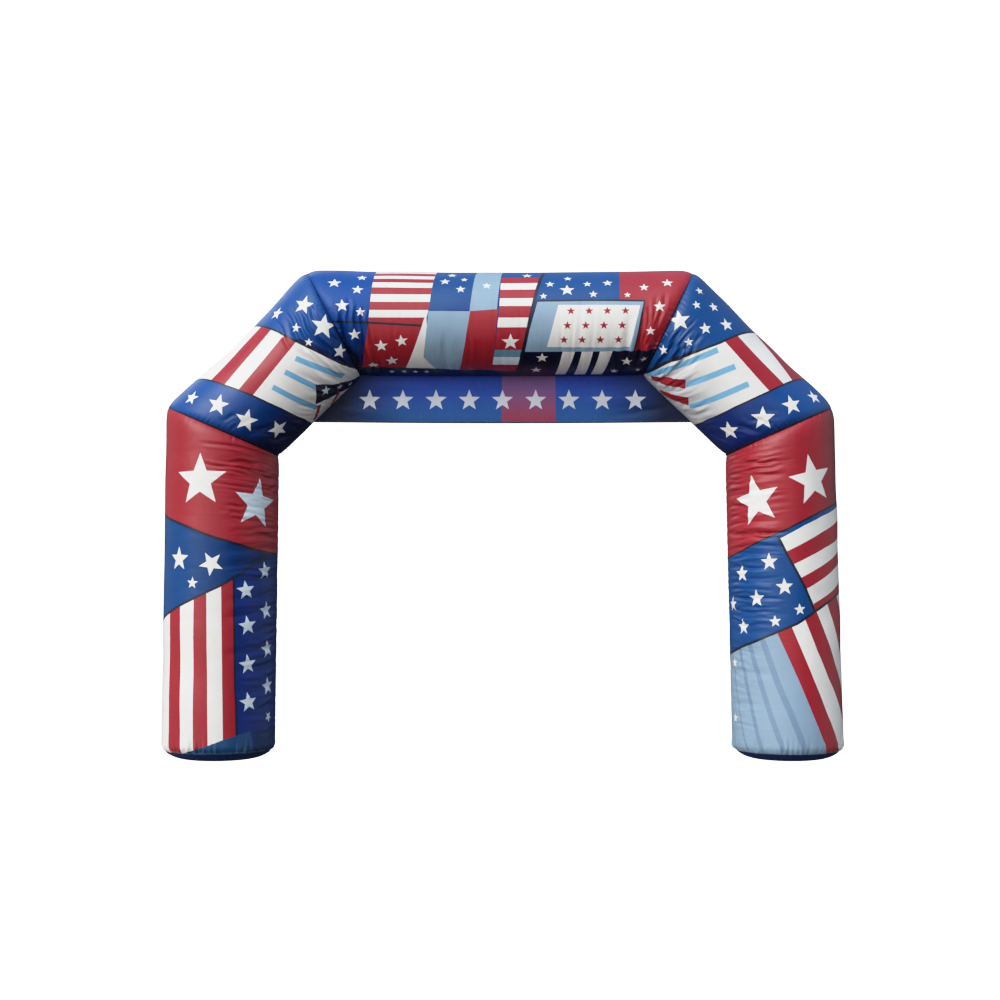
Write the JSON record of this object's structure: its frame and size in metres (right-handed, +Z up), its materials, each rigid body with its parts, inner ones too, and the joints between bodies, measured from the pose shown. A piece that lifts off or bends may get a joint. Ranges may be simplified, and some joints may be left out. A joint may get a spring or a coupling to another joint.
{
  "type": "inflatable arch",
  "caption": "Angular inflatable arch of five mitred air tubes on rounded base caps, with a plain banner sheet under the beam.",
  "frame": {"origin": "on the floor, midway between the two legs and midway through their depth", "axes": "+Z up, +X along the span from the left leg to the right leg as the front is seen, -Y towards the front"},
  "size_m": [6.1, 1.0005, 4.3863],
  "materials": {
    "printed_cloth": "coated polyester with a satin sheen, printed with stars, stripes and colour patches",
    "base_cloth": "navy coated polyester, satin",
    "banner_cloth": "blue coated polyester sheet, satin"
  },
  "bodies": {
    "root": {"leg_left": "printed_cloth", "leg_right": "printed_cloth", "slope_left": "printed_cloth", "slope_right": "printed_cloth", "top_beam": "printed_cloth", "base_left": "base_cloth", "base_right": "base_cloth", "banner": "banner_cloth"}
  },
  "joints": []
}
